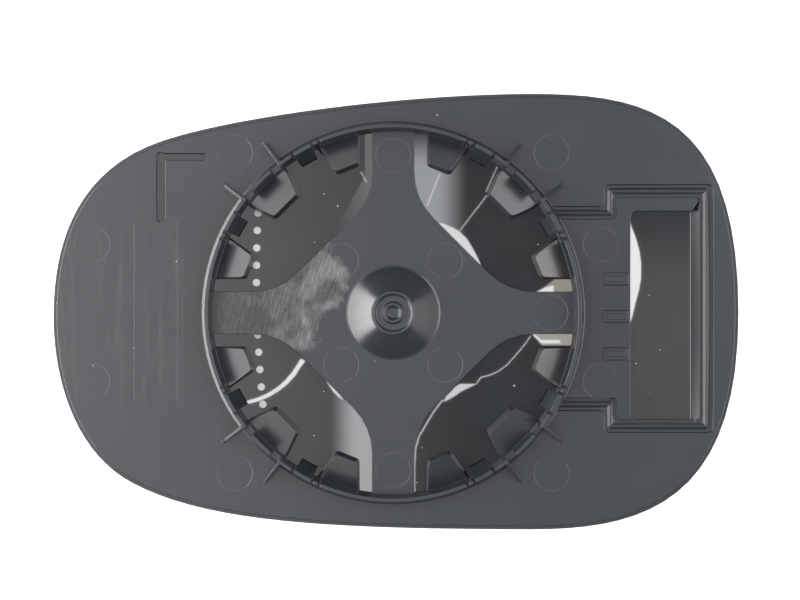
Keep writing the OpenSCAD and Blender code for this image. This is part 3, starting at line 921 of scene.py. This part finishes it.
@dataclass
class MirrorPane:
    """The curved pane: silvered face, ground edge, dark back coat and the dotted dividing line.

    Args:
        inset: Distance of the pane's edge from the plate's outline.
        back: Level of its back on the axis.
        face: Level of its face on the axis.
        rings: Rings of faces from the middle to the edge.
        chamfer: Width of the ground chamfer round both faces.
        sharp_angle: Angle in degrees from which an edge is shaded sharp.
        dot_radius: Radius of each dot of the dividing line.
        dot_pitch: Distance between two dots along Y.
        dot_first: Place along Y of the topmost dot.
        dot_x: Place along X of the line's foremost dot.
        dot_bow: How fast the line bows away from there.
        dot_middle: Place along Y at which it is foremost.
        dot_margin: Distance that the dots keep from the pane's edge.
        dot_near: Distance from the line along X within which the edge limits it.
        dot_sides: Sides of each dot.
        dot_back: How far the dots stand out of the pane's back.
        dot_face: How far they stand out of its face.
    """

    inset: float = 1.55
    back: float = -2.5
    face: float = -4.5
    rings: int = 44
    chamfer: float = 0.3
    sharp_angle: float = 25.0
    dot_radius: float = 0.92
    dot_pitch: float = 4.36
    dot_first: float = 46.8
    dot_x: float = -34.32
    dot_bow: float = 0.0016
    dot_middle: float = 9.0
    dot_margin: float = 2.0
    dot_near: float = 2.5
    dot_sides: int = 28
    dot_back: float = 0.012
    dot_face: float = 0.004

    def pane(self, materials: Sequence[Material]) -> Object:
        """Build the pane.

        Args:
            materials: Finishes of its back, face and edge.

        Returns:
            The pane.
        """
        edge = OUTLINE.moved(self.inset, Side.IN)
        inner = OUTLINE.moved(self.inset + self.chamfer, Side.IN)
        count = len(edge)
        verts: list[Place] = []
        faces: list[tuple[int, ...]] = []
        slots: list[int] = []

        def sheet(level: float, flip: bool, slot: int) -> int:
            """Add one curved face.

            Args:
                level: Its level on the axis.
                flip: Whether it looks down.
                slot: Its material's index.

            Returns:
                The index of its outer ring's first point.
            """
            start = len(verts)
            verts.append((0.0, 0.0, DOME.height(0.0, 0.0, level)))
            for k in range(1, self.rings + 1):
                s = k / self.rings
                verts.extend((s * x, s * y, DOME.height(s * x, s * y, level)) for x, y in inner)
            for i in range(count):
                j = (i + 1) % count
                faces.append((start, start + 1 + i, start + 1 + j)[:: -1 if flip else 1])
                slots.append(slot)
                for k in range(self.rings - 1):
                    a, b = start + 1 + k * count, start + 1 + (k + 1) * count
                    faces.append((a + i, b + i, b + j, a + j)[:: -1 if flip else 1])
                    slots.append(slot)
            return start + 1 + (self.rings - 1) * count

        top = sheet(self.back, False, 0)
        bottom = sheet(self.face, True, 1)
        upper = len(verts)
        verts.extend((x, y, DOME.height(x, y, self.back) - self.chamfer) for x, y in edge)
        lower = len(verts)
        verts.extend((x, y, DOME.height(x, y, self.face) + self.chamfer) for x, y in edge)
        for a, b in ((top, upper), (upper, lower), (lower, bottom)):
            for i in range(count):
                j = (i + 1) % count
                faces.append((a + i, b + i, b + j, a + j))
                slots.append(2)
        pane = mesh_object("mirror_pane", verts, faces)
        for material in materials:
            pane.data.materials.append(material)
        for polygon, slot in zip(pane.data.polygons, slots):
            polygon.material_index = slot
        fix_normals(pane)
        pane.data.set_sharp_from_angle(angle=math.radians(self.sharp_angle))
        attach(pane, BODY)
        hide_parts("mirror_glass")
        return pane

    def dots(self, material: Material) -> Object:
        """Build the dotted line, where the coat and the silvering are left out.

        Args:
            material: Finish of the dots.

        Returns:
            The dots, as one object of thin discs through the pane.
        """
        edge = OUTLINE.moved(self.inset + self.dot_margin, Side.IN)
        near = [y for x, y in edge if abs(x - self.dot_x) < self.dot_near]
        top, bottom = max(near), min(near)
        sides = self.dot_sides
        verts: list[Place] = []
        faces: list[tuple[int, ...]] = []
        y = self.dot_first
        while y > bottom:
            x = self.dot_x + self.dot_bow * (y - self.dot_middle) ** 2
            if y < top:
                start = len(verts)
                for level, lift in ((self.back, self.dot_back), (self.face, -self.dot_face)):
                    for k in range(sides):
                        a = 2 * math.pi * k / sides
                        px, py = x + self.dot_radius * math.cos(a), y + self.dot_radius * math.sin(a)
                        verts.append((px, py, DOME.height(px, py, level) + lift))
                for k in range(sides):
                    m = (k + 1) % sides
                    faces.append((start + k, start + sides + k, start + sides + m, start + m))
                faces.append(tuple(start + k for k in range(sides)))
                faces.append(tuple(start + sides + k for k in reversed(range(sides))))
            y -= self.dot_pitch
        dots = mesh_object("dividing_dots", verts, faces, smooth=False)
        dots.data.materials.append(material)
        fix_normals(dots)
        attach(dots, BODY)
        return dots


@dataclass(frozen=True)
class Card:
    """A card above the camera that only reflections show.

    Args:
        name: Name of the card.
        strength: Its brightness, where 1 is white paper's.
        points: Its outline in plan, in millimetres.
        colour: Its colour.
        fade_x: Places along X where it starts to show and where it hides what is above it.
        fade_y: The same along Y.
    """

    name: str
    strength: float
    points: tuple[Point, ...]
    colour: Colour = (1.0, 1.0, 1.0)
    fade_x: Point | None = None
    fade_y: Point | None = None

    def build(self, level: float) -> Object:
        """Build the card.

        Args:
            level: Its height in millimetres.

        Returns:
            The card.
        """
        corners = [(x, y, level) for x, y in self.points]
        card = mesh_object("card_" + self.name, corners, [tuple(range(len(corners)))], smooth=False)
        material, tree, shader, place = new_material("card_" + self.name)
        shader.inputs["Base Color"].default_value = (0.0, 0.0, 0.0, 1.0)
        shader.inputs["Specular IOR Level"].default_value = 0.0
        shader.inputs["Emission Color"].default_value = (*self.colour, 1.0)
        shader.inputs["Emission Strength"].default_value = self.strength
        x, y, _ = tree.split(place)
        alpha: object = 1.0
        for value, fade in ((x, self.fade_x), (y, self.fade_y)):
            if fade:
                alpha = tree.times(tree.ramp(value, *fade), alpha)
        if isinstance(alpha, Socket):
            tree.link(alpha, shader.inputs["Alpha"])
        card.data.materials.append(material)
        for use in ("camera", "diffuse", "transmission", "volume_scatter", "shadow"):
            setattr(card, "visible_" + use, False)
        return card


def rectangle(x0: float, y0: float, x1: float, y1: float) -> tuple[Point, ...]:
    """Return a rectangle's corners from two that face each other, the first row first."""
    return ((x0, y0), (x1, y0), (x1, y1), (x0, y1))


# Lower cards first: a card hides the later ones above it, except where it fades
CARDS = (
    Card(
        "crescent", 12.5, (
            (11.1, 22.5), (12.8, 22.2), (15.1, 21.3), (17.4, 19.9), (19.5, 17.8), (20.9, 15.5),
            (22.3, 12.9), (23.5, 10.3), (20.3, 12.3), (16.0, 16.7), (13.1, 19.6),
        ),
    ),
    Card("line_a", 11.0, ((11.9, 36.9), (11.6, 36.9), (7.7, 27.4), (8.1, 27.4))),
    Card("line_b", 8.0, ((28.3, 38.6), (28.0, 38.6), (24.8, 31.5), (25.1, 31.4))),
    Card("line_c", 8.5, ((25.4, 30.4), (25.1, 30.5), (17.0, 20.0), (17.3, 19.9))),
    Card("wedge_up", 14.0, ((39.2, 2.5), (41.9, 3.8), (44.4, 4.5), (44.4, 2.5))),
    Card(
        "wedge_down", 14.0,
        ((38.5, -9.3), (40.8, -11.3), (46.3, -11.3), (46.3, -12.3), (40.8, -12.3), (38.8, -10.2)),
    ),
    Card("patch_up", 5.2, ((44.8, 6.3), (50.3, 6.3), (50.3, 2.0), (39.1, 2.0)), (1.0, 0.95, 0.82)),
    Card("patch_down", 6.2, ((37.9, -9.3), (50.9, -9.3), (50.9, -12.9), (41.1, -12.9)), (1.0, 0.96, 0.88)),
    Card(
        "wave", 10.0, (
            (37.9, -10.2), (36.6, -12.2), (35.0, -14.2), (33.0, -16.5), (31.3, -18.4), (29.6, -19.8),
            (27.8, -20.9), (26.1, -21.6), (23.5, -22.3), (23.1, -22.9), (22.3, -24.0), (22.1, -23.8),
            (22.9, -22.6), (23.4, -22.0), (26.0, -21.3), (27.7, -20.6), (29.4, -19.6), (31.1, -18.2),
            (32.8, -16.3), (34.8, -14.0), (36.4, -12.0), (37.7, -10.1),
        ),
    ),
    Card(
        "triangle", 11.0, (
            (22.3, -24.0), (17.4, -24.0), (16.0, -24.9), (13.4, -27.8), (12.5, -29.2),
            (14.6, -28.4), (18.0, -26.1),
        ),
    ),
    Card(
        "edge_line", 9.0, (
            (12.3, -28.4), (9.7, -31.8), (7.4, -35.6), (5.4, -39.0), (4.4, -42.5), (4.1, -47.4), (4.1, -56.6),
            (4.5, -56.6), (4.5, -47.6), (4.8, -42.7), (5.8, -39.2), (7.8, -35.8), (10.1, -32.0), (12.7, -28.6),
        ),
    ),
    Card(
        "arc", 14.5, (
            (-46.1, -29.2), (-43.7, -28.8), (-40.8, -27.9), (-38.0, -26.6), (-35.4, -25.0), (-33.1, -23.0),
            (-31.1, -20.7), (-29.5, -18.3), (-28.5, -16.7), (-27.2, -17.4), (-28.5, -19.1), (-30.2, -21.7),
            (-32.3, -24.0), (-34.8, -26.0), (-37.4, -27.6), (-40.4, -28.9), (-43.4, -29.6), (-46.0, -29.9),
        ),
    ),
    Card(
        "sliver", 13.0, (
            (-21.2, -23.2), (-20.1, -24.0), (-18.4, -25.9), (-17.2, -27.2), (-16.3, -28.6),
            (-17.5, -27.9), (-19.2, -26.2),
        ),
    ),
    Card(
        "window", 15.0, (
            (65.9, 23.8), (66.7, 21.5), (68.0, 18.1), (69.0, 14.6), (69.5, 10.9), (69.5, 6.6), (68.9, 3.1),
            (67.9, -0.6), (67.1, -4.1), (66.5, -6.1), (64.3, -6.1), (64.3, 23.8),
        ),
    ),
    Card("grey_top", 6.0, rectangle(1.6, 52.0, 22.0, 17.5), (0.93, 0.96, 1.0), (20.0, 10.0), (50.0, 38.0)),
    Card("grey_bottom", 7.0, rectangle(-21.0, -20.0, -2.8, -57.4), (0.96, 0.98, 1.0), (-20.5, -12.0)),
    Card("short_line", 9.0, ((-11.3, 37.2), (-11.0, 37.2), (-9.3, 34.1), (-9.6, 34.0))),
    Card("window_line", 7.0, rectangle(83.5, 25.5, 83.9, -34.2)),
    Card(
        "pale_side", 2.8,
        ((-10.0, 60.0), (-4.0, 60.0), (-4.0, 14.0), (-23.0, 14.0), (-20.0, 18.0), (-10.0, 36.0)),
        (1.0, 0.98, 0.96), (-20.5, -7.0),
    ),
    Card("window_haze", 1.2, rectangle(60.0, 34.0, 90.0, -44.0), (1.0, 0.99, 0.98), None, (26.0, 2.0)),
    Card("shade", 0.5, rectangle(4.0, -62.0, 60.0, 62.0), (0.86, 0.93, 1.0), (4.0, 22.0)),
    Card("left_ceiling", 2.7, rectangle(-420.0, -420.0, 40.0, 420.0), (1.0, 0.99, 0.97), (40.0, -125.0)),
    Card("ceiling", 0.6, rectangle(-420.0, -420.0, 420.0, 420.0), (0.88, 0.95, 1.0)),
)


@dataclass
class Studio:
    """The floor, the lamps, the sky and the camera.

    Args:
        floor_level: Height of the floor.
        distance: Distance of the camera from the plate.
        aim: Point of the object in the middle of the picture.
        scale: Millimetres of the object in one pixel of the picture.
        card_level: Height of the lowest card, above the camera.
        card_step: Distance between two cards' heights.
        floor_reach: Distance from the middle to the floor's sides.
        floor_glow: Glow of the floor to the camera, to reflections and through glass.
        sky_level: Brightness of the world, apart from what the camera sees.
        picture_width: Width of the picture in pixels, at which the scale holds.
        sensor_width: Width of the camera's sensor.
    """

    floor_level: float
    distance: float = 600.0
    aim: Point = (1.7, 3.2)
    scale: float = 0.25
    card_level: float = 650.0
    card_step: float = 0.1
    floor_reach: float = 3000.0
    floor_glow: float = 0.55
    sky_level: float = 0.5
    picture_width: float = 800.0
    sensor_width: float = 36.0

    def floor(self) -> Object:
        """Build the floor, white to the camera, with the object's shadow.

        Returns:
            The floor.
        """
        reach, z = self.floor_reach, self.floor_level
        corners = [(-reach, -reach, z), (reach, -reach, z), (reach, reach, z), (-reach, reach, z)]
        floor = mesh_object("floor", corners, [(0, 1, 2, 3)], smooth=False)
        material, tree, shader, _ = new_material("white_paper")
        shader.inputs["Base Color"].default_value = (0.8, 0.8, 0.8, 1.0)
        shader.inputs["Roughness"].default_value = 0.9
        shader.inputs["Specular IOR Level"].default_value = 0.0
        shader.inputs["Emission Color"].default_value = (1.0, 1.0, 1.0, 1.0)
        path = tree.add("LightPath")
        seen = tree.math("MAXIMUM", path.outputs["Is Camera Ray"], path.outputs["Is Glossy Ray"])
        seen = tree.math("MAXIMUM", seen, path.outputs["Is Transmission Ray"])
        tree.link(tree.times(seen, self.floor_glow), shader.inputs["Emission Strength"])
        floor.data.materials.append(material)
        return floor

    def sky(self) -> None:
        """Set an even grey world that the camera sees as white."""
        world = bpy.data.worlds.new("sky")
        bpy.context.scene.world = world
        world.use_nodes = True
        tree = Tree(world.node_tree)
        background = next(n for n in world.node_tree.nodes if n.type == "BACKGROUND")
        path = tree.add("LightPath")
        strength = tree.math("MAXIMUM", path.outputs["Is Camera Ray"], self.sky_level)
        tree.link(strength, background.inputs["Strength"])
        background.inputs["Color"].default_value = (1.0, 1.0, 1.0, 1.0)

    def lamp(
        self, name: str, place: Place, size: Point, radiance: float,
        target: Place = (0.0, 0.0, 0.0),
    ) -> Object:
        """Build one soft lamp.

        Args:
            name: Name of the lamp.
            place: Its middle, in millimetres.
            size: Its width and height, in millimetres.
            radiance: Its brightness, where 1 is white paper's.
            target: The point that it faces.

        Returns:
            The lamp.
        """
        data = bpy.data.lights.new(name, "AREA")
        data.shape = "RECTANGLE"
        data.size, data.size_y = size[0] * MM, size[1] * MM
        data.energy = radiance * math.pi * data.size * data.size_y
        lamp = bpy.data.objects.new(name, data)
        bpy.context.scene.collection.objects.link(lamp)
        lamp.location = Vector(place) * MM
        aim = Vector(target) * MM - lamp.location
        lamp.rotation_euler = aim.to_track_quat("-Z", "Y").to_euler()
        return lamp

    def camera(self) -> None:
        """Build the camera, which looks straight down on the plate's back."""
        data = bpy.data.cameras.new("camera")
        data.sensor_width = self.sensor_width
        data.lens = self.sensor_width * self.distance / (self.picture_width * self.scale)
        data.clip_start = 0.01
        data.clip_end = 20.0
        camera = bpy.data.objects.new("camera", data)
        bpy.context.scene.collection.objects.link(camera)
        camera.location = (self.aim[0] * MM, self.aim[1] * MM, self.distance * MM)
        bpy.context.scene.camera = camera

    def build(self) -> None:
        """Build the whole studio."""
        self.floor()
        self.sky()
        self.lamp("left_low", (-460.0, 0.0, 110.0), (720.0, 200.0), 15.0, (0.0, 0.0, 20.0))
        self.lamp("left_high", (-270.0, 30.0, 470.0), (360.0, 240.0), 5.0)
        self.lamp("right_low", (460.0, -40.0, 120.0), (600.0, 160.0), 2.2, (0.0, 0.0, 10.0))
        self.lamp("right_mid", (390.0, -70.0, 330.0), (420.0, 200.0), 4.0)
        self.lamp("right_high", (300.0, 80.0, 560.0), (440.0, 280.0), 6.2)
        for rank, card in enumerate(CARDS):
            card.build(self.card_level + self.card_step * rank)
        self.camera()
        view = bpy.context.scene.view_settings
        view.view_transform = "Standard"


def main() -> None:
    """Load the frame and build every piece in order."""
    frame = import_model()
    effects = Effects()
    plastic = MouldedPlastic().build(effects)
    plate = HolderPlate(frame["nodes"]["holder_plate"]).build(plastic)
    LOG.info("holder plate: %d faces before its edges are softened", len(plate.data.polygons))
    coat = BackCoat().build(effects)
    face = SilveredGlass().build(effects)
    edge = PlainFinish("ground_edge", (0.22, 0.26, 0.25), (0.16, 0.2, 0.19), 0.45, 0.15, 0.01).build(effects)
    parts = MirrorPane()
    pane = parts.pane([coat, face, edge])
    LOG.info("mirror pane: %d faces", len(pane.data.polygons))
    etched = PlainFinish("etched_dots", (0.40, 0.41, 0.42), (0.33, 0.34, 0.35), 0.5, 0.2, 0.005).build(effects)
    dots = parts.dots(etched)
    LOG.info("dividing dots: %d faces", len(dots.data.polygons))
    film = frame["nodes"]["adhesive_film"]
    foam = PlainFinish("foam_film", (0.07, 0.07, 0.072), (0.045, 0.045, 0.047), 0.85, 0.25, 0.05).build(effects)
    film.data.materials.clear()
    film.data.materials.append(foam)
    LOG.info("bonding film: dressed")
    lowest = DOME.height(0.0, 0.0, parts.face)
    Studio(floor_level=lowest - 0.01).build()


if __name__ == "__main__":
    main()
